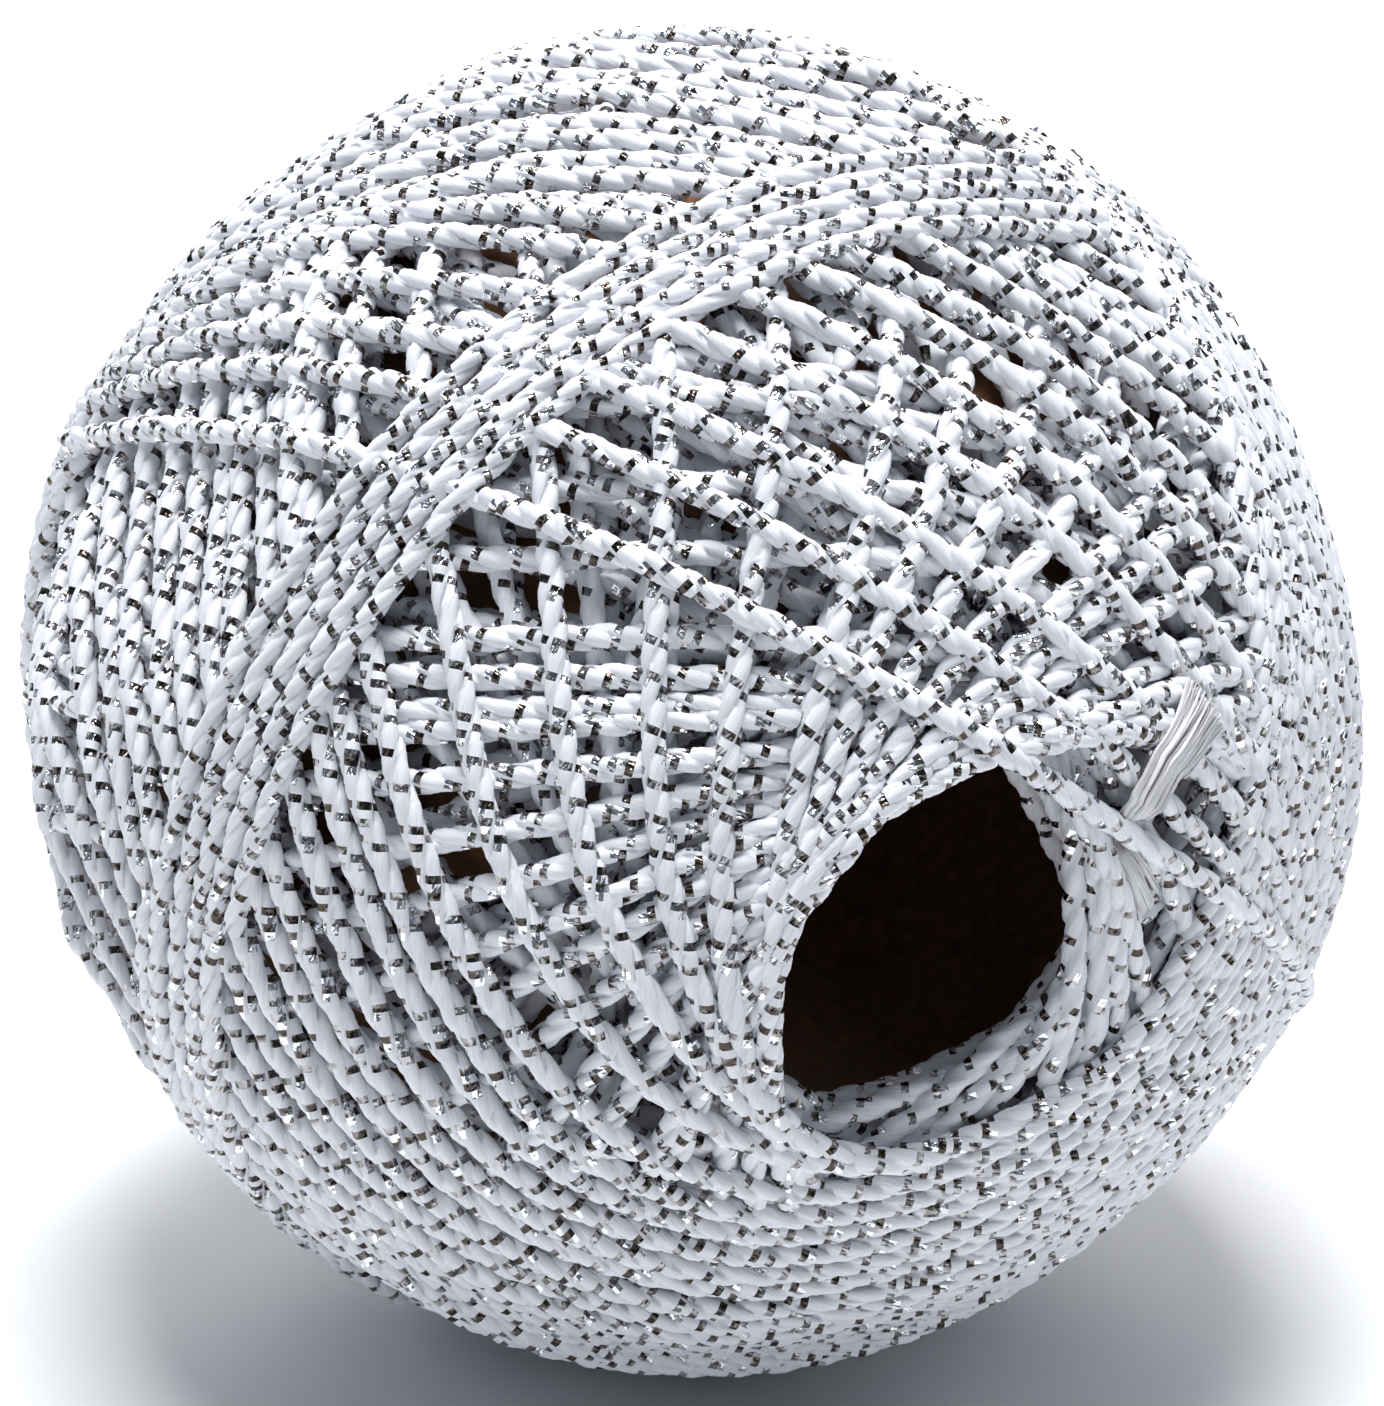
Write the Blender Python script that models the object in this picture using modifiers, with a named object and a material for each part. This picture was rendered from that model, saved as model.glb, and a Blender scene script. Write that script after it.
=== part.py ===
"""Ball of metallic cord cross-wound on a hollow board core.

Metres. The core's axis lies along Y, with the front hole facing -Y, and the ball lies on its side with +Z up.
The cord is one length. Each stretch of it that does a different job is one plain solid of its outer shape.
"""

import math

import bmesh
import bpy
from mathutils import Matrix, Vector

MM = 0.001

# Driving dimensions, in millimetres
GAP = 0.3
CORD = 1.5
CORE_RADIUS = 33.0
CORE_REACH = 32.0
CORE_WALL = 1.4
CORE_END = 27.0
HOLE_RADIUS = 11.0
INNER_WINDING = (36.0, 34.8)
BALL_RADIUS = 38.7
BALL_END = 35.5
REST_HEIGHT = 38.3
BAND_WIDTH = 6.8
BAND_HEIGHT = 1.2
BAND_NORMAL = Vector((0.277, -0.925, -0.26)).normalized()
BAND_OFFSET = 6.3
CLOSING_NORMAL = Vector((-0.564, -0.293, -0.772)).normalized()
TAIL_FROM = Vector((0.39, -0.92, -0.01)).normalized()
TAIL_TO = Vector((0.405, -0.905, -0.13)).normalized()

TURN_STEPS = 48
ARC_STEPS = 14

BOARD = (0.52, 0.30, 0.13)
YARN = (0.86, 0.86, 0.89)
YARN_SHADE = (0.78, 0.78, 0.82)


def clear_scene():
    """Removes every object the file started with."""
    for ob in list(bpy.data.objects):
        bpy.data.objects.remove(ob, do_unlink=True)


def make_collection(name):
    """Returns a new collection in the scene."""
    made = bpy.data.collections.new(name)
    bpy.context.scene.collection.children.link(made)
    return made


def make_material(name, colour, roughness, metallic):
    """Returns a Principled material."""
    material = bpy.data.materials.new(name)
    material.use_nodes = True
    shader = material.node_tree.nodes["Principled BSDF"]
    shader.inputs["Base Color"].default_value = (*colour, 1.0)
    shader.inputs["Roughness"].default_value = roughness
    shader.inputs["Metallic"].default_value = metallic
    return material


def finish(ob, collection, look):
    """Links the object and gives it a material of its own."""
    collection.objects.link(ob)
    ob.data.materials.append(make_material(ob.name + "_material", *look))


def ellipse_arc(across, along, start, end):
    """Points of a turned outline from height start to height end, on the ellipse of these half axes."""
    first = math.asin(start / along)
    last = math.asin(end / along)
    angles = [first + (last - first) * i / ARC_STEPS for i in range(ARC_STEPS + 1)]
    return [(across * math.cos(a), along * math.sin(a)) for a in angles]


def height_at(radius, across, along):
    """Height of the ellipse of these half axes at this radius."""
    return along * math.sqrt(1.0 - (radius / across) ** 2)


def cut(ob, cutter):
    """Cuts the cutter's shape out of ob."""
    boolean = ob.modifiers.new("cut", "BOOLEAN")
    boolean.operation = "DIFFERENCE"
    boolean.solver = "EXACT"
    boolean.object = cutter


def floor_cutter(collection):
    """A block whose top face is the level the ball rests on, where its soft turns are pressed flat."""
    size = 60.0
    cube = bmesh.new()
    bmesh.ops.create_cube(cube, size=size * MM)
    mesh = bpy.data.meshes.new("floor_cutter")
    cube.to_mesh(mesh)
    cube.free()
    ob = bpy.data.objects.new("floor_cutter", mesh)
    ob.location.z = -(REST_HEIGHT + size / 2) * MM
    ob.hide_render = True
    ob.display_type = "WIRE"
    collection.objects.link(ob)
    return ob


def turned(name, outline, collection, look, normal=(0.0, 1.0, 0.0)):
    """Turns a closed (radius, height) outline, in millimetres, about an axis through the ball's centre."""
    mesh = bpy.data.meshes.new(name)
    points = [(r * MM, 0.0, h * MM) for r, h in outline]
    edges = [(i, (i + 1) % len(points)) for i in range(len(points))]
    mesh.from_pydata(points, edges, [])
    ob = bpy.data.objects.new(name, mesh)
    finish(ob, collection, look)
    screw = ob.modifiers.new("turn", "SCREW")
    screw.steps = TURN_STEPS
    screw.render_steps = TURN_STEPS
    screw.use_merge_vertices = True
    screw.merge_threshold = 0.00001
    screw.use_smooth_shade = True
    half_step = Matrix.Rotation(math.pi / TURN_STEPS, 4, "Z")
    tilt = Vector((0.0, 0.0, 1.0)).rotation_difference(Vector(normal))
    ob.matrix_world = tilt.to_matrix().to_4x4() @ half_step
    return ob


def core_half(name, side, collection):
    """One pressed board half shell, open at its outer end."""
    start, end = (CORE_END, GAP / 2) if side > 0 else (-GAP / 2, -CORE_END)
    outer = ellipse_arc(CORE_RADIUS, CORE_REACH, start, end)
    inner = ellipse_arc(CORE_RADIUS - CORE_WALL, CORE_REACH - CORE_WALL, end, start)
    return turned(name, outer + inner, collection, (BOARD, 0.85, 0.0))


def inner_winding(collection):
    """The first windings, laid on the core and bunched over its ends."""
    across, along = INNER_WINDING
    top = height_at(HOLE_RADIUS, across, along)
    bed = (CORE_RADIUS + GAP, CORE_REACH + GAP)
    lip = CORE_END + GAP
    outer = ellipse_arc(across, along, top, -top)
    inner = ellipse_arc(*bed, -lip, lip)
    outline = outer + [(HOLE_RADIUS, -lip)] + inner + [(HOLE_RADIUS, lip)]
    return turned("inner_winding", outline, collection, (YARN_SHADE, 0.75, 0.0))


def outer_winding(collection):
    """The last crossed windings, with a flat ring round each hole where the turns bunch."""
    across, along = INNER_WINDING[0] + GAP, INNER_WINDING[1] + GAP
    low = height_at(HOLE_RADIUS, across, along)
    outer = ellipse_arc(BALL_RADIUS, BALL_RADIUS, BALL_END, -BALL_END)
    inner = ellipse_arc(across, along, -low, low)
    outline = outer + [(HOLE_RADIUS, -BALL_END)] + inner + [(HOLE_RADIUS, BALL_END)]
    return turned("outer_winding", outline, collection, (YARN, 0.7, 0.0))


def waist_band(collection):
    """The flat strap of turns laid side by side round the waist."""
    inside = BALL_RADIUS + GAP
    outside = inside + BAND_HEIGHT
    top, low = BAND_OFFSET + BAND_WIDTH / 2, BAND_OFFSET - BAND_WIDTH / 2
    shoulder = BAND_HEIGHT * 0.4
    heights = [top - shoulder - (BAND_WIDTH - 2 * shoulder) * i / 6 for i in range(7)]
    crown = [(math.sqrt(outside**2 - h**2), h) for h in heights]
    sides = [(math.sqrt((outside - shoulder) ** 2 - low**2), low), (math.sqrt(inside**2 - low**2), low)]
    bed = [(math.sqrt(inside**2 - h**2), h) for h in reversed(heights)]
    start = [(math.sqrt(inside**2 - top**2), top), (math.sqrt((outside - shoulder) ** 2 - top**2), top)]
    return turned("waist_band", crown + sides + bed + start, collection, (YARN, 0.7, 0.0), BAND_NORMAL)


def tube(name, points, collection):
    """A round cord along these points, in millimetres."""
    curve = bpy.data.curves.new(name, "CURVE")
    curve.dimensions = "3D"
    curve.bevel_depth = CORD / 2 * MM
    curve.bevel_resolution = 3
    curve.use_fill_caps = True
    spline = curve.splines.new("POLY")
    spline.points.add(len(points) - 1)
    for slot, point in zip(spline.points, points):
        slot.co = (*(point * MM), 1.0)
    ob = bpy.data.objects.new(name, curve)
    finish(ob, collection, (YARN, 0.7, 0.0))
    return ob


def closing_turn(collection):
    """The last crossed turn, which rides over the front hole's rim from one side of the band to the other."""
    radius = BALL_RADIUS + GAP + CORD / 2
    side = CLOSING_NORMAL.cross(Vector((0.0, -1.0, 0.0))).normalized()
    front = side.cross(CLOSING_NORMAL).normalized()
    clear = BAND_OFFSET + BAND_WIDTH / 2 + CORD / 2 + GAP
    points = []
    for step in range(-60, 61):
        angle = math.radians(1.75 * step)
        point = radius * (math.cos(angle) * front + math.sin(angle) * side)
        if point.dot(BAND_NORMAL) > clear:
            points.append(point)
    return tube("closing_turn", points[::2], collection)


def tucked_tail(collection):
    """The cord's loose end, tucked in beside the front hole."""
    radius = BALL_RADIUS + GAP + CORD / 2
    points = [TAIL_FROM.lerp(TAIL_TO, i / 4).normalized() * radius for i in range(5)]
    return tube("tucked_tail", points, collection)


def build():
    """Builds the whole ball."""
    clear_scene()
    collection = make_collection("metallic_cord_ball")
    core_half("core_front_half", -1, collection)
    core_half("core_rear_half", 1, collection)
    inner_winding(collection)
    winding = outer_winding(collection)
    band = waist_band(collection)
    closing_turn(collection)
    tucked_tail(collection)
    cutter = floor_cutter(make_collection("cutters"))
    cut(winding, cutter)
    cut(band, cutter)


build()
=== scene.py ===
"""The looks of a ball of white and silver cord, cross-wound on a hollow board core.

Lengths are in millimetres. The cord is wound by rule: each turn's plane follows the winding plan,
and the cord is then laid taut over the core and the turns that are already there.
"""

import math

import bpy
import numpy as np
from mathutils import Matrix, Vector


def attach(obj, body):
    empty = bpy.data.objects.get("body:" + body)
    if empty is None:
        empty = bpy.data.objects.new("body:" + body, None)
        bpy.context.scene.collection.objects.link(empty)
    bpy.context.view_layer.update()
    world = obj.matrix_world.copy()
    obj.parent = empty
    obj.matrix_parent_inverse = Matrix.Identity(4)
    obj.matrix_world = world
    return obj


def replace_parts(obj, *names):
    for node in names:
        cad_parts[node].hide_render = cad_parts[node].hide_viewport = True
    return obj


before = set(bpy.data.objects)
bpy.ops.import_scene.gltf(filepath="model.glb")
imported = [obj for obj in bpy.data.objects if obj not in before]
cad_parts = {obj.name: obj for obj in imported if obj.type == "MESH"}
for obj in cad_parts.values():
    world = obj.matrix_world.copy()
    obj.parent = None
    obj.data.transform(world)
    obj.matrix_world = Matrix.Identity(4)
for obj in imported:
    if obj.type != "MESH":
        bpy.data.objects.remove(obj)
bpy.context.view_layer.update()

MM = 0.001
CORD = 1.5
FLOOR = -38.3

# ------------------------------------------------------------------ camera


def make_camera(azimuth, elevation, distance, lens):
    """Points a camera at the ball's centre from that azimuth and elevation."""
    a, e = math.radians(azimuth), math.radians(elevation)
    back = Vector((math.sin(a) * math.cos(e), -math.cos(a) * math.cos(e), math.sin(e)))
    data = bpy.data.cameras.new("camera")
    data.lens = lens
    data.sensor_width = 36.0
    data.clip_start = 0.01
    data.shift_x = 0.004
    data.shift_y = 0.001
    camera = bpy.data.objects.new("camera", data)
    camera.location = back * distance
    camera.rotation_mode = "QUATERNION"
    camera.rotation_quaternion = (-back).to_track_quat("-Z", "Y")
    bpy.context.scene.collection.objects.link(camera)
    bpy.context.scene.camera = camera


make_camera(-19.2, 21.75, 0.40, 174.8)

# ------------------------------------------------------------------ cord routes

CORE_ACROSS, CORE_ALONG, CORE_END = 33.0, 32.0, 27.0
BOARD_WALL = 1.4
BOARD_GAP = 0.15
CORD_ON_BOARD = 0.6
CORD_BESIDE_END = 0.5
SAMPLES_A_TURN = 360
TURNS = 128
RUN_OUT = 200
OUTER_TURNS = 63
CLOSING_SAMPLES = 210

# How far out the last turns lie, and the share of any more height that a turn, or the closing turn, keeps
FULL_REACH = 38.4
GIVE, CLOSING_GIVE = 0.4, 0.75

# How near a cord's middle comes to the cord below it, at these angles in degrees from the core's axis
PRESS_AT = [24, 45, 68, 90]
PRESS = [0.75, 1.0, 1.08, 0.82]
RAYS_AT_ONCE = 120
LONGEST_SPAN = 0.95 * math.pi

# The early turns, which stray further, and the angle in radians over which an arriving turn wraps round
EARLY_FROM, EARLY_BLEND = 61, 4
ARRIVAL = 0.9

# The winding plan. Each row is a number of turns back from the end, then angles in degrees: where the turn
# leaves the front hole's edge, how near it passes to the front and rear holes, how far it has wrapped round
# the front hole by then, how much wider it came in, and its sway. Turns between two rows blend their angles.
PLAN = np.array(
    [
        (0, 235, 15.5, 18, 0, 0, -1),
        (4, 214, 36, 45, 0, 0, 0),
        (8, 207, 56, 64, 0, 0, 0),
        (12, 182, 58, 60, 0, 0, 0),
        (17, 150, 55, 50, 0, 0, 0),
        (20, 140, 46, 50, 30, 12, 4),
        (24, 140, 36, 52, 80, 26, 2),
        (29, 138, 24.5, 56, 93, 20, 0),
        (33, 134, 17, 58, 88, 12, 0),
        (34, 120, 15.8, 55, 80, 8.5, 0),
        (35, 80, 17, 45, 50, 4, 1),
        (37, 20, 15.5, 25, 10, 0.5, 5),
        (38, -2, 12.5, 20, 0, 0, 5),
        (42, -36, 10.6, 17, 0, 0, 5),
        (46, -70, 12.8, 18, 0, 0, 4),
        (50, -93, 17, 18, 0, 0, 1),
        (54, -107, 22, 20, 0, 0, 3),
        (58, -120, 48, 17, 0, 0, 5),
        (62, -150, 17, 20, 0, 0, 2),
        (128, -880, 21.5, 18, 0, 0, 1),
    ]
)

BAND_NORMAL = np.array([0.277, -0.925, -0.26])
BAND_NORMAL /= np.linalg.norm(BAND_NORMAL)
BAND_TURNS = 5
BAND_OFFSET = 6.3
BAND_REACH = 39.0
BAND_PITCH, BAND_SPREAD = 1.35, 0.35
BAND_SPREAD_AT, BAND_SPREAD_OVER = 0.6, 0.8
BAND_SQUASH = 0.85
BAND_FIRST_ROW = 4000

# The frayed end's course beside the front hole, as directions from the ball's centre
TAIL_ROUTE = np.array(
    [
        (0.47, -0.85, 0.26),
        (0.39, -0.9, 0.2),
        (0.35, -0.93, 0.13),
        (0.355, -0.93, 0.065),
        (0.4, -0.915, -0.035),
    ]
)
TAIL_STEPS = 70
TAIL_WIDTH = 3.0
TAIL_LENGTH = 14.0
TAIL_FIBRES = 90
TAIL_CROSSED = 0.6


def wander(where, knots, amount, seed):
    """A slow smooth random drift along where, which runs from 0 to 1."""
    values = np.random.default_rng(seed).normal(size=knots + 3) * amount
    at = where * knots
    low = np.floor(at).astype(int)
    part = at - low
    part = part * part * (3 - 2 * part)
    return values[low] * (1 - part) + values[low + 1] * part


def smooth_step(where):
    """Goes smoothly from 0 to 1 as where does."""
    where = np.clip(where, 0, 1)
    return where * where * (3 - 2 * where)


def planned(left):
    """The winding plan's angles at so many turns back from the end, one row for each of its columns."""
    return [np.interp(left, PLAN[:, 0], angles) for angles in PLAN.T[1:]]


def crossed_directions():
    """The directions, seen from the ball's centre, that the crossed turns pass through."""
    count = TURNS * SAMPLES_A_TURN + RUN_OUT
    turn = np.arange(count) * 2 * math.pi / SAMPLES_A_TURN
    left = (turn[-1] - turn) / (2 * math.pi)
    along = turn / turn[-1]
    leaves, near_front, near_rear, wrap, draw_in, sway = planned(left)
    past_side = np.abs(turn % (2 * math.pi) - math.pi) - math.pi / 2
    before = smooth_step((past_side + ARRIVAL) / (2 * ARRIVAL))
    early = np.clip((left - EARLY_FROM) / EARLY_BLEND, 0, 1)
    wide = np.abs(wander(along, TURNS * 2, 1.0, 5)) * (0.5 + 4.0 * early)
    around = np.radians(leaves - wrap * before + wander(along, TURNS * 3, 1.0, 3))
    front = np.radians(near_front + draw_in * before + wide)
    rear = np.radians(near_rear + wide)
    sway = np.radians(sway)
    lean = (front + rear) / 2 - sway
    shift = (front - rear) / 2
    flat = np.stack([-np.sin(around), 0 * around, np.cos(around)], 1)
    steep = np.stack([-np.sin(lean) * np.cos(around), -np.cos(lean), -np.sin(lean) * np.sin(around)], 1)
    pole = np.stack([np.cos(lean) * np.cos(around), -np.sin(lean), np.cos(lean) * np.sin(around)], 1)
    aside = sway * np.sin(3 * turn) - shift
    out = np.cos(turn)[:, None] * flat + np.sin(turn)[:, None] * steep + aside[:, None] * pole
    return turn, out / np.linalg.norm(out, axis=1)[:, None]


def core_support(out):
    """How far out the board core holds a cord's middle in each direction."""
    across, along = np.hypot(out[:, 0], out[:, 2]), np.abs(out[:, 1])
    half_across, half_along = CORE_ACROSS + CORD_ON_BOARD, CORE_ALONG + CORD_ON_BOARD
    reach = 1 / np.sqrt((across / half_across) ** 2 + (along / half_along) ** 2)
    reach[reach * along > CORE_END + CORD_BESIDE_END] = 1.0
    return reach


def laid_support(out, laid, give=GIVE):
    """How far out the core and the turns already laid hold a cord's middle in each direction.

    Past FULL_REACH a cord sinks in between the others, and give is the share of the height that it keeps.
    """
    reach = core_support(out)
    if not len(laid):
        return reach
    pole = np.degrees(np.arccos(np.clip(np.abs(out[:, 1]), 0, 1)))
    press = np.interp(pole, PRESS_AT, PRESS).astype(np.float32)
    below, rays = laid.astype(np.float32), out.astype(np.float32)
    size2 = (below * below).sum(1)
    for start in range(0, len(rays), RAYS_AT_ONCE):
        part = slice(start, start + RAYS_AT_ONCE)
        deep = rays[part] @ below.T
        aside2 = size2[None, :] - deep * deep
        near2 = (press[part] ** 2)[:, None]
        held = np.where((aside2 < near2) & (deep > 0), deep + np.sqrt(np.maximum(near2 - aside2, 0)), 0)
        reach[part] = np.maximum(reach[part], held.max(1))
    return np.where(reach > FULL_REACH, FULL_REACH + give * (reach - FULL_REACH), reach)


def pull_taut(turn, reach, kept):
    """The points that a taut cord touches, carrying on from kept, out of points reach from the centre."""
    for angle, size in zip(turn, reach):
        while len(kept) >= 2:
            (a0, r0), (a1, r1) = kept[-2], kept[-1]
            span = angle - a0
            if span >= LONGEST_SPAN:
                break
            chord = (math.sin(angle - a1) / r0 + math.sin(a1 - a0) / size) / math.sin(span)
            if r1 > 1 / chord + 1e-9:
                break
            kept.pop()
        kept.append((angle, size))
    return kept


def taut_reach(turn, kept):
    """Distance from the centre, at each turn angle, of the straight stretches between the kept points."""
    angles, sizes = np.array(kept).T
    at = np.clip(np.searchsorted(angles, turn, side="right") - 1, 0, len(angles) - 2)
    a0, a1, r0, r1 = angles[at], angles[at + 1], sizes[at], sizes[at + 1]
    span = np.maximum(a1 - a0, 1e-9)
    return np.sin(span) / (np.sin(a1 - turn) / r0 + np.sin(turn - a0) / r1)


def lay(turn, out, laid, block, give=GIVE):
    """Lays a cord over what is already there, block samples at a time. Returns its points."""
    points = np.zeros((0, 3))
    kept = []
    for start in range(0, len(turn), block):
        stop = min(start + block, len(turn))
        ahead = min(stop + SAMPLES_A_TURN // 4, len(turn))
        below = np.vstack([laid, points])
        reach = laid_support(out[start:ahead], below, give)
        kept = pull_taut(turn[start:ahead], reach, kept)
        size = taut_reach(turn[start:stop], kept)
        points = np.vstack([points, size[:, None] * out[start:stop]])
        kept = list(zip(turn[stop - 2 : stop], size[-2:]))
    return points


def band_directions():
    """The directions that the waist band's side-by-side turns pass through."""
    flat = np.cross(BAND_NORMAL, [0.0, 0.0, 1.0])
    flat /= np.linalg.norm(flat)
    steep = np.cross(BAND_NORMAL, flat)
    turn = np.arange(BAND_TURNS * SAMPLES_A_TURN) * 2 * math.pi / SAMPLES_A_TURN
    from_spread = (turn - BAND_SPREAD_AT) % (2 * math.pi) - math.pi
    spread = BAND_PITCH + BAND_SPREAD * np.exp(-(from_spread**2) / BAND_SPREAD_OVER)
    place = turn / (2 * math.pi) - BAND_TURNS / 2
    drift = wander(turn / turn[-1], BAND_TURNS * 4, 0.12, 8)
    aside = (BAND_OFFSET + place * spread + drift) / BAND_REACH
    level = np.sqrt(1 - aside**2)[:, None]
    ring = np.cos(turn)[:, None] * flat + np.sin(turn)[:, None] * steep
    return turn, level * ring + aside[:, None] * BAND_NORMAL


def even_steps(points, step):
    """The same route with points step apart, and its slight corners rounded."""
    width = np.hanning(7)
    padded = np.pad(points, ((3, 3), (0, 0)), mode="edge")
    points = np.stack([np.convolve(padded[:, i], width / width.sum(), "valid") for i in range(3)], 1)
    gone = np.concatenate([[0], np.cumsum(np.linalg.norm(np.diff(points, axis=0), axis=1))])
    wanted = np.arange(0, gone[-1], step)
    return np.stack([np.interp(wanted, gone, points[:, i]) for i in range(3)], 1)


def press_on_floor(points, level, give):
    """Presses what reaches below level up towards it."""
    points = points.copy()
    low = points[:, 2] < level
    points[low, 2] = level + (points[low, 2] - level) * give
    return points


def finished_route(points):
    """A laid cord's route in even steps, pressed flat where the ball rests."""
    return press_on_floor(even_steps(points, ROW), FLOOR + CORD / 2, 0.15)


# ------------------------------------------------------------------ cord bodies

PLIES = 3
PLY_FROM_MIDDLE, PLY_RADIUS = 0.33, 0.42
LAY_LENGTH = 8.0
ROW = 0.4
FOIL_PITCH = 1.8
FOIL_SLANT = 0.45
# The last share is of foil bars with a painted glint, a painted highlight, on the ring after them
FOIL_MISSING, FOIL_DOUBLE, PAINTED_GLINTS = 0.06, 0.2, 0.5
LONGEST = 60000.0
DRIFT_KNOTS, THICKNESS_KNOTS = 27000, 9000


def cord_axes(route):
    """Unit vectors along the route, away from the ball's centre, and aside, at each of its points."""
    ahead = np.gradient(route, axis=0)
    ahead /= np.linalg.norm(ahead, axis=1)[:, None]
    away = route / np.linalg.norm(route, axis=1)[:, None]
    away -= (away * ahead).sum(1)[:, None] * ahead
    away /= np.linalg.norm(away, axis=1)[:, None]
    return ahead, away, np.cross(ahead, away)


def foil_pattern(phase, column, each, seed):
    """Which faces of a cord are yarn (0), foil painted dark in patches as painted reflection (1) or foil
    painted as a glint, a painted highlight (2).

    The phase says where each ply is in the pattern at each ring, and foil crosses the ply at whole numbers.
    """
    ply, place = column // each, column % each
    rng = np.random.default_rng(seed)
    crossing = np.floor(phase[1:]) != np.floor(phase[:-1])
    crossing &= rng.random(crossing.shape) > FOIL_MISSING
    crossing[2:] |= (crossing & (rng.random(crossing.shape) < FOIL_DOUBLE))[:-2]
    inside = (place > 0) & (place < each - 1)
    dark = crossing[:, ply] & inside
    # Painted glint: after some bars, the next ring on one side of the ply gets the bright foil material, a
    # painted highlight
    beside = np.zeros_like(crossing)
    beside[1:] = (crossing & (rng.random(crossing.shape) < PAINTED_GLINTS))[:-1]
    one_side = (place < each // 2)[None, :] == (rng.random(crossing.shape) < 0.5)[:, ply]
    painted_glint = beside[:, ply] & inside & one_side & ~dark
    return dark + 2 * painted_glint


def cord_rings(route, across, squash, first_row, seed):
    """Rings of points round a three-ply cord, the look of each of its faces, and its grain."""
    ahead, away, aside = cord_axes(route)
    gone = (np.arange(len(route)) + first_row) * ROW
    each = across // PLIES
    column = np.arange(across)
    ply = column // each
    from_crown = ((column % each) - (each - 1) / 2) / each * 2 * math.pi / PLIES
    crown = PLY_FROM_MIDDLE * np.cos(from_crown)
    shape = crown + np.sqrt(PLY_RADIUS**2 - (PLY_FROM_MIDDLE * np.sin(from_crown)) ** 2)
    drift = wander(gone / LONGEST, DRIFT_KNOTS, 0.13, seed)
    phase = gone[:, None] / FOIL_PITCH + np.arange(PLIES)[None, :] * 0.37 + drift[:, None]
    plump = 0.91 + 0.13 * np.sin(math.pi * (phase % 1.0))
    thick = 1 + wander(gone / LONGEST, THICKNESS_KNOTS, 0.03, seed + 1)
    size = shape[None, :] * plump[:, ply] * thick[:, None]
    slant = -FOIL_SLANT * ((column % each) - (each - 1) / 2) / (each - 1)
    angle = column[None, :] * 2 * math.pi / across + (2 * math.pi * gone / LAY_LENGTH)[:, None]
    rings = (
        route[:, None, :]
        + slant[None, :, None] * ahead[:, None, :]
        + (size * np.cos(angle))[:, :, None] * away[:, None, :]
        + (size * squash * np.sin(angle))[:, :, None] * aside[:, None, :]
    )
    turned = column * 2 * math.pi / across
    grain = [CORD / 2 * np.cos(turned), CORD / 2 * np.sin(turned), gone[:, None]]
    grain = np.stack([np.broadcast_to(axis, size.shape) for axis in grain], 2)
    return rings, foil_pattern(phase, column, each, seed + 2), grain


def ring_faces(rows, across):
    """Four-cornered faces between neighbouring rings."""
    row, column = np.meshgrid(np.arange(rows - 1), np.arange(across), indexing="ij")
    other = (column + 1) % across
    here, beyond = row * across, (row + 1) * across
    return np.stack([here + column, here + other, beyond + other, beyond + column], 2)


def mesh_object(name, points, faces, materials, slots, smooth, grain=None):
    """A mesh object from arrays of points in millimetres and four-cornered faces."""
    mesh = bpy.data.meshes.new(name)
    mesh.vertices.add(len(points))
    mesh.vertices.foreach_set("co", (points * MM).astype(np.float32).ravel())
    mesh.loops.add(len(faces) * 4)
    mesh.loops.foreach_set("vertex_index", faces.astype(np.int32).ravel())
    mesh.polygons.add(len(faces))
    mesh.polygons.foreach_set("loop_start", np.arange(0, len(faces) * 4, 4, dtype=np.int32))
    mesh.polygons.foreach_set("material_index", slots.astype(np.int32))
    mesh.polygons.foreach_set("use_smooth", smooth.astype(bool))
    if grain is not None:
        attribute = mesh.attributes.new("grain", "FLOAT_VECTOR", "POINT")
        attribute.data.foreach_set("vector", grain.astype(np.float32).ravel())
    mesh.update(calc_edges=True)
    for material in materials:
        mesh.materials.append(material)
    ob = bpy.data.objects.new(name, mesh)
    bpy.context.scene.collection.objects.link(ob)
    return ob


def make_cord(name, route, first_row, materials, across=18, squash=1.0, seed=1):
    """One stretch of cord as a named piece that rides with the ball. Returns it and its length in metres."""
    rings, look, grain = cord_rings(route, across, squash, first_row, seed)
    flat = press_on_floor(rings.reshape(-1, 3), FLOOR + 0.05, 0.05)
    faces = ring_faces(len(route), across).reshape(-1, 4)
    ob = mesh_object(name, flat, faces, materials, look.ravel(), look.ravel() == 0, grain.reshape(-1, 3))
    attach(ob, "root")
    length = np.linalg.norm(np.diff(route, axis=0), axis=1).sum() * MM
    return ob, float(length)


def tail_middle(laid):
    """The directions and middle line of the cord's loose end, with a dip where the closing turn crosses."""
    where = np.linspace(0, 1, TAIL_STEPS)
    knots = np.linspace(0, 1, len(TAIL_ROUTE))
    out = np.stack([np.interp(where, knots, axis) for axis in TAIL_ROUTE.T], 1)
    out /= np.linalg.norm(out, axis=1)[:, None]
    reach = laid_support(out, laid, 1.0)
    reach = np.array([reach[max(k - 8, 0) : k + 9].max() for k in range(len(reach))])
    reach = np.convolve(np.pad(reach, 6, mode="edge"), np.ones(13) / 13, "valid")
    dip = 0.5 * np.exp(-(((where - TAIL_CROSSED) / 0.12) ** 2))
    return out, out * (reach - 0.1 - dip)[:, None]


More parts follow.
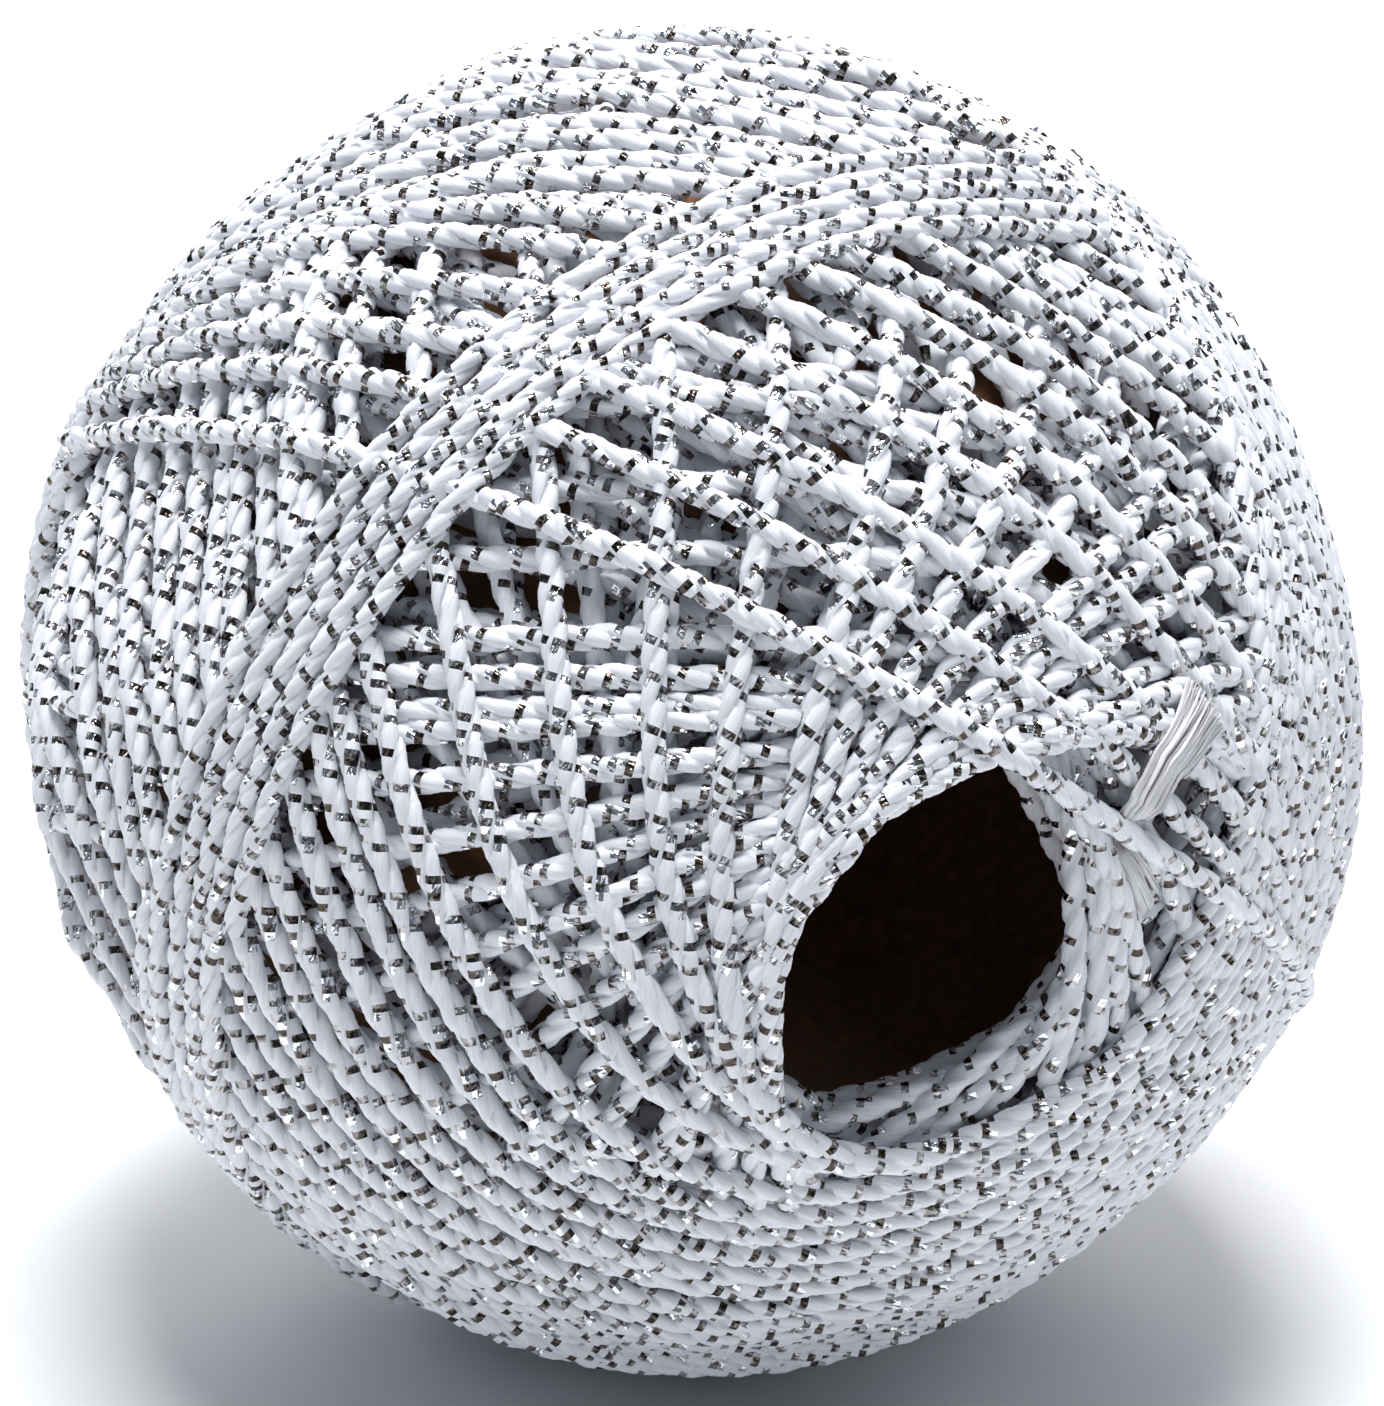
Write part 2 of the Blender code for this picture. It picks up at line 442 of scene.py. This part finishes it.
def tail_fibre(k, rng, out, middle, aside):
    """Rings of four points round one loose fibre of the tail."""
    where = np.linspace(0, 1, len(middle))
    place, lift, size = rng.uniform(-1, 1), rng.uniform(0, 1), rng.uniform(0.07, 0.13)
    wave = wander(where, 5, 0.12, 200 + k)
    half = TAIL_WIDTH / 2 * (0.85 + 0.5 * (2 * where - 1) ** 4)
    fibre = middle + aside * (place * half + wave)[:, None]
    fibre += out * (0.55 * lift * (1 - place**2) + 0.3 * wander(where, 4, 0.15, 400 + k))[:, None]
    thin = (size * (1 - 0.7 * np.abs(2 * where - 1) ** 6))[:, None, None]
    sides = np.arange(4) * math.pi / 2
    upward = np.cos(sides)[None, :, None] * out[:, None, :]
    across = np.sin(sides)[None, :, None] * aside[:, None, :]
    return fibre[:, None, :] + thin * (upward + across)


def make_tail(name, out, middle, material):
    """The cord's end, untwisted into a flat bundle of loose fibres along this middle line."""
    ahead = np.gradient(middle, axis=0)
    ahead /= np.linalg.norm(ahead, axis=1)[:, None]
    aside = np.cross(ahead, out)
    rng = np.random.default_rng(60)
    steps = len(middle)
    along = np.repeat(TAIL_LENGTH * np.linspace(0, 1, steps), 4)
    points, faces, grain = [], [], []
    for k in range(TAIL_FIBRES):
        points.append(tail_fibre(k, rng, out, middle, aside).reshape(-1, 3))
        faces.append(ring_faces(steps, 4).reshape(-1, 4) + k * steps * 4)
        grain.append(np.stack([np.full(len(along), k * 1.7), np.zeros(len(along)), along], 1))
    faces = np.vstack(faces)
    slots = np.zeros(len(faces))
    ob = mesh_object(name, np.vstack(points), faces, [material], slots, slots == 0, np.vstack(grain))
    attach(ob, "root")
    return ob


# ------------------------------------------------------------------ materials


def new_material(name):
    """An empty Principled material, its node tree and its shader."""
    material = bpy.data.materials.new(name)
    material.use_nodes = True
    tree = material.node_tree
    return material, tree, tree.nodes["Principled BSDF"]


def grain_input(tree, stretch=(1.0, 1.0, 1.0)):
    """A vector that follows the piece's own grain, with this scale on each of its axes."""
    source = tree.nodes.new("ShaderNodeAttribute")
    source.attribute_name = "grain"
    mapping = tree.nodes.new("ShaderNodeMapping")
    mapping.inputs["Scale"].default_value = stretch
    tree.links.new(source.outputs["Vector"], mapping.inputs["Vector"])
    return mapping.outputs["Vector"]


def noise(tree, vector, scale, detail):
    """A noise texture."""
    node = tree.nodes.new("ShaderNodeTexNoise")
    node.inputs["Scale"].default_value = scale
    node.inputs["Detail"].default_value = detail
    tree.links.new(vector, node.inputs["Vector"])
    return node.outputs["Fac"]


def added(tree, fine, coarse, share):
    """The fine pattern with this share of the coarse one added to it."""
    node = tree.nodes.new("ShaderNodeMath")
    node.operation = "MULTIPLY_ADD"
    node.inputs[1].default_value = share
    tree.links.new(coarse, node.inputs[0])
    tree.links.new(fine, node.inputs[2])
    return node.outputs[0]


def ramp(tree, value, stops):
    """A colour ramp through these (place, colour) stops."""
    node = tree.nodes.new("ShaderNodeValToRGB")
    while len(node.color_ramp.elements) < len(stops):
        node.color_ramp.elements.new(0.5)
    for element, (place, colour) in zip(node.color_ramp.elements, stops):
        element.position = place
        element.color = (*colour, 1.0)
    tree.links.new(value, node.inputs["Fac"])
    return node.outputs["Color"]


def bump(tree, height, strength, distance, shader):
    """Bumps the shader's surface by this height."""
    node = tree.nodes.new("ShaderNodeBump")
    node.inputs["Strength"].default_value = strength
    node.inputs["Distance"].default_value = distance
    tree.links.new(height, node.inputs["Height"])
    tree.links.new(node.outputs["Normal"], shader.inputs["Normal"])


def yarn_material():
    """White spun yarn with fine fibres along each ply."""
    material, tree, shader = new_material("white_yarn")
    fibres = noise(tree, grain_input(tree, (1.0, 1.0, 0.12)), 9.0, 3.0)
    cloud = noise(tree, grain_input(tree), 0.25, 2.0)
    whites = [(0.35, (0.74, 0.75, 0.82)), (0.85, (0.93, 0.93, 0.95))]
    colour = ramp(tree, added(tree, fibres, cloud, 0.35), whites)
    tree.links.new(colour, shader.inputs["Base Color"])
    rough = ramp(tree, fibres, [(0.3, (0.62,) * 3), (0.7, (0.8,) * 3)])
    tree.links.new(rough, shader.inputs["Roughness"])
    shader.inputs["Sheen Weight"].default_value = 0.15
    bump(tree, fibres, 0.35, 0.0001, shader)
    return material


def foil_material(name, dark, bright):
    """Narrow strips of metallic foil whose base colour goes in patches between these two colours, painted
    reflection standing in for crinkles, dark where they would mirror shade and bright where they would catch
    light; the same noise sets the roughness.
    """
    material, tree, shader = new_material(name)
    grain = grain_input(tree)
    crinkle_and_painted_sparkle = noise(tree, grain, 1.1, 1.0)
    # Painted reflection: the noise paints the base colour dark or bright in patches, the dark colour
    # standing in for mirrored shade
    colour = ramp(tree, crinkle_and_painted_sparkle, [(0.42, dark), (0.6, bright)])
    tree.links.new(colour, shader.inputs["Base Color"])
    shader.inputs["Metallic"].default_value = 1.0
    rough = ramp(tree, crinkle_and_painted_sparkle, [(0.3, (0.10,) * 3), (0.7, (0.24,) * 3)])
    tree.links.new(rough, shader.inputs["Roughness"])
    bump(tree, noise(tree, grain, 2.2, 1.0), 0.8, 0.0003, shader)
    return material


def fibre_material():
    """Loose white fibres, a little greyer than the spun yarn."""
    material, tree, shader = new_material("loose_fibre")
    streaks = noise(tree, grain_input(tree, (1.0, 1.0, 0.3)), 2.0, 3.0)
    colour = ramp(tree, streaks, [(0.3, (0.78, 0.77, 0.79)), (0.7, (0.95, 0.94, 0.95))])
    tree.links.new(colour, shader.inputs["Base Color"])
    rough = ramp(tree, streaks, [(0.3, (0.5,) * 3), (0.7, (0.7,) * 3)])
    tree.links.new(rough, shader.inputs["Roughness"])
    shader.inputs["Sheen Weight"].default_value = 0.3
    bump(tree, streaks, 0.3, 0.0001, shader)
    return material


def board_material():
    """Smooth brown pressed board with short fibres and faint bands."""
    material, tree, shader = new_material("brown_board")
    coords = tree.nodes.new("ShaderNodeTexCoord")
    fibres = noise(tree, coords.outputs["Object"], 900.0, 4.0)
    cloud = noise(tree, coords.outputs["Object"], 120.0, 3.0)
    browns = [(0.5, (0.10, 0.042, 0.015)), (0.75, (0.17, 0.075, 0.026)), (1.0, (0.25, 0.12, 0.05))]
    colour = ramp(tree, added(tree, fibres, cloud, 0.6), browns)
    tree.links.new(colour, shader.inputs["Base Color"])
    rough = ramp(tree, fibres, [(0.3, (0.6,) * 3), (0.7, (0.85,) * 3)])
    tree.links.new(rough, shader.inputs["Roughness"])
    bump(tree, fibres, 0.4, 0.0002, shader)
    return material


# ------------------------------------------------------------------ core


def board_outline():
    """The (radius, height) outline of one pressed half shell: its outer face, then its inner face back."""
    first, last = math.asin(BOARD_GAP / CORE_ALONG), math.asin(CORE_END / CORE_ALONG)
    outer = [(CORE_ACROSS * math.cos(a), CORE_ALONG * math.sin(a)) for a in np.linspace(first, last, 40)]
    inner = []
    for height in np.linspace(CORE_END, BOARD_GAP, 30):
        a = math.asin(height / (CORE_ALONG - BOARD_WALL))
        inner.append(((CORE_ACROSS - BOARD_WALL) * math.cos(a), height))
    return np.array(outer + inner)


def make_core_half(name, side, material):
    """One pressed board half shell, on the given side of the ball's middle."""
    outline = board_outline()
    steps = 144
    angles = np.arange(steps) * 2 * math.pi / steps
    r, h = outline[:, 0][None, :], outline[:, 1][None, :] * side
    x, z = r * np.cos(angles)[:, None], r * np.sin(angles)[:, None]
    points = np.stack([x, h * np.ones((steps, 1)), z], 2)
    count = len(outline)
    step, at = np.meshgrid(np.arange(steps), np.arange(count), indexing="ij")
    here, beyond, other = step * count, (step + 1) % steps * count, (at + 1) % count
    faces = np.stack([here + at, here + other, beyond + other, beyond + at], 2).reshape(-1, 4)
    if side > 0:
        faces = faces[:, ::-1]
    slots = np.zeros(len(faces))
    ob = mesh_object(name, points.reshape(-1, 3), faces, [material], slots, slots == 0)
    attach(ob, "root")
    return ob


# ------------------------------------------------------------------ light


def add_area(name, place, size, power, colour=(1.0, 1.0, 1.0)):
    """A soft square light that faces the ball."""
    data = bpy.data.lights.new(name, "AREA")
    data.shape = "SQUARE"
    data.size = size
    data.energy = power
    data.color = colour
    light = bpy.data.objects.new(name, data)
    light.location = place
    light.rotation_mode = "QUATERNION"
    light.rotation_quaternion = (-Vector(place)).to_track_quat("-Z", "Y")
    bpy.context.scene.collection.objects.link(light)


def make_stage():
    """A plain pale floor and soft studio light."""
    material, tree, shader = new_material("floor_white")
    shader.inputs["Base Color"].default_value = (0.88, 0.88, 0.88, 1.0)
    shader.inputs["Roughness"].default_value = 0.9
    half = 2500.0
    points = np.array([(x * half, y * half, FLOOR) for x, y in ((-1, -1), (1, -1), (1, 1), (-1, 1))])
    floor = mesh_object("floor", points, np.array([[0, 1, 2, 3]]), [material], np.zeros(1), np.zeros(1))
    world = bpy.data.worlds.new("studio")
    world.use_nodes = True
    sky = world.node_tree.nodes["Background"]
    sky.inputs["Color"].default_value = (0.73, 0.82, 1.0, 1.0)
    sky.inputs["Strength"].default_value = 0.17
    bpy.context.scene.world = world
    add_area("key", (0.0, 0.0, 1.0), 0.45, 13.0, (0.97, 0.98, 1.0))
    add_area("left", (-1.0, 0.0, 0.7), 0.6, 1.5, (0.84, 0.9, 1.0))
    add_area("right", (1.0, -0.3, 0.7), 0.8, 1.5, (0.9, 0.94, 1.0))
    add_area("behind", (0.2, 0.9, 0.7), 0.8, 6.0)
    bpy.context.scene.view_settings.view_transform = "Standard"


# ------------------------------------------------------------------ build

white, board = yarn_material(), board_material()
# The silver foil's dark colour is painted reflection of shade, and the second foil is a painted glint, a
# painted highlight, beside the bars
silver = foil_material("foil_with_painted_reflection", (0.085, 0.07, 0.058), (0.5, 0.49, 0.49))
painted_glint = foil_material("painted_glint_foil", (0.82, 0.82, 0.85), (0.97, 0.97, 0.98))
cord_looks = [white, silver, painted_glint]

turn, out = crossed_directions()
closing_from = len(turn) - CLOSING_SAMPLES
crossed = lay(turn[:closing_from], out[:closing_from], np.zeros((0, 3)), SAMPLES_A_TURN // 2)
tail_out, tail = tail_middle(crossed)
under = np.vstack([crossed, tail])
closing = lay(turn[closing_from + 2 :], out[closing_from + 2 :], under, SAMPLES_A_TURN, CLOSING_GIVE)
band_turn, band_out = band_directions()
band = lay(band_turn, band_out, np.vstack([crossed, closing]), len(band_turn))

lengths = {}
inner_end = closing_from - OUTER_TURNS * SAMPLES_A_TURN
stretches = [
    ("inner_pass", crossed[:inner_end], 12, 6),
    ("outer_pass", crossed[inner_end - 1 :], 18, 8),
]
first_row = 0
made = {}
for title, points, across, pieces in stretches:
    route = finished_route(points)
    cuts = np.linspace(0, len(route) - 1, pieces + 1).astype(int)
    for i in range(pieces):
        name = f"{title}_cord_{i + 1}"
        piece = route[cuts[i] : cuts[i + 1] + 1]
        made[name], lengths[name] = make_cord(name, piece, first_row + cuts[i], cord_looks, across)
    first_row += len(route)

route = finished_route(np.vstack([crossed[-1:], closing]))
name = "closing_turn_cord"
made[name], lengths[name] = make_cord(name, route, first_row, cord_looks)
route = finished_route(band)
name = "waist_band_cord"
made[name], lengths[name] = make_cord(name, route, BAND_FIRST_ROW, cord_looks, squash=BAND_SQUASH, seed=40)

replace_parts(made["inner_pass_cord_1"], "inner_winding")
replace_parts(made["outer_pass_cord_1"], "outer_winding")
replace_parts(make_tail("frayed_tail", tail_out, tail, fibre_material()), "tucked_tail")
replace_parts(made["closing_turn_cord"], "closing_turn")
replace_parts(made["waist_band_cord"], "waist_band")
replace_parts(make_core_half("board_core_front", -1, board), "core_front_half")
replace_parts(make_core_half("board_core_rear", 1, board), "core_rear_half")

make_stage()
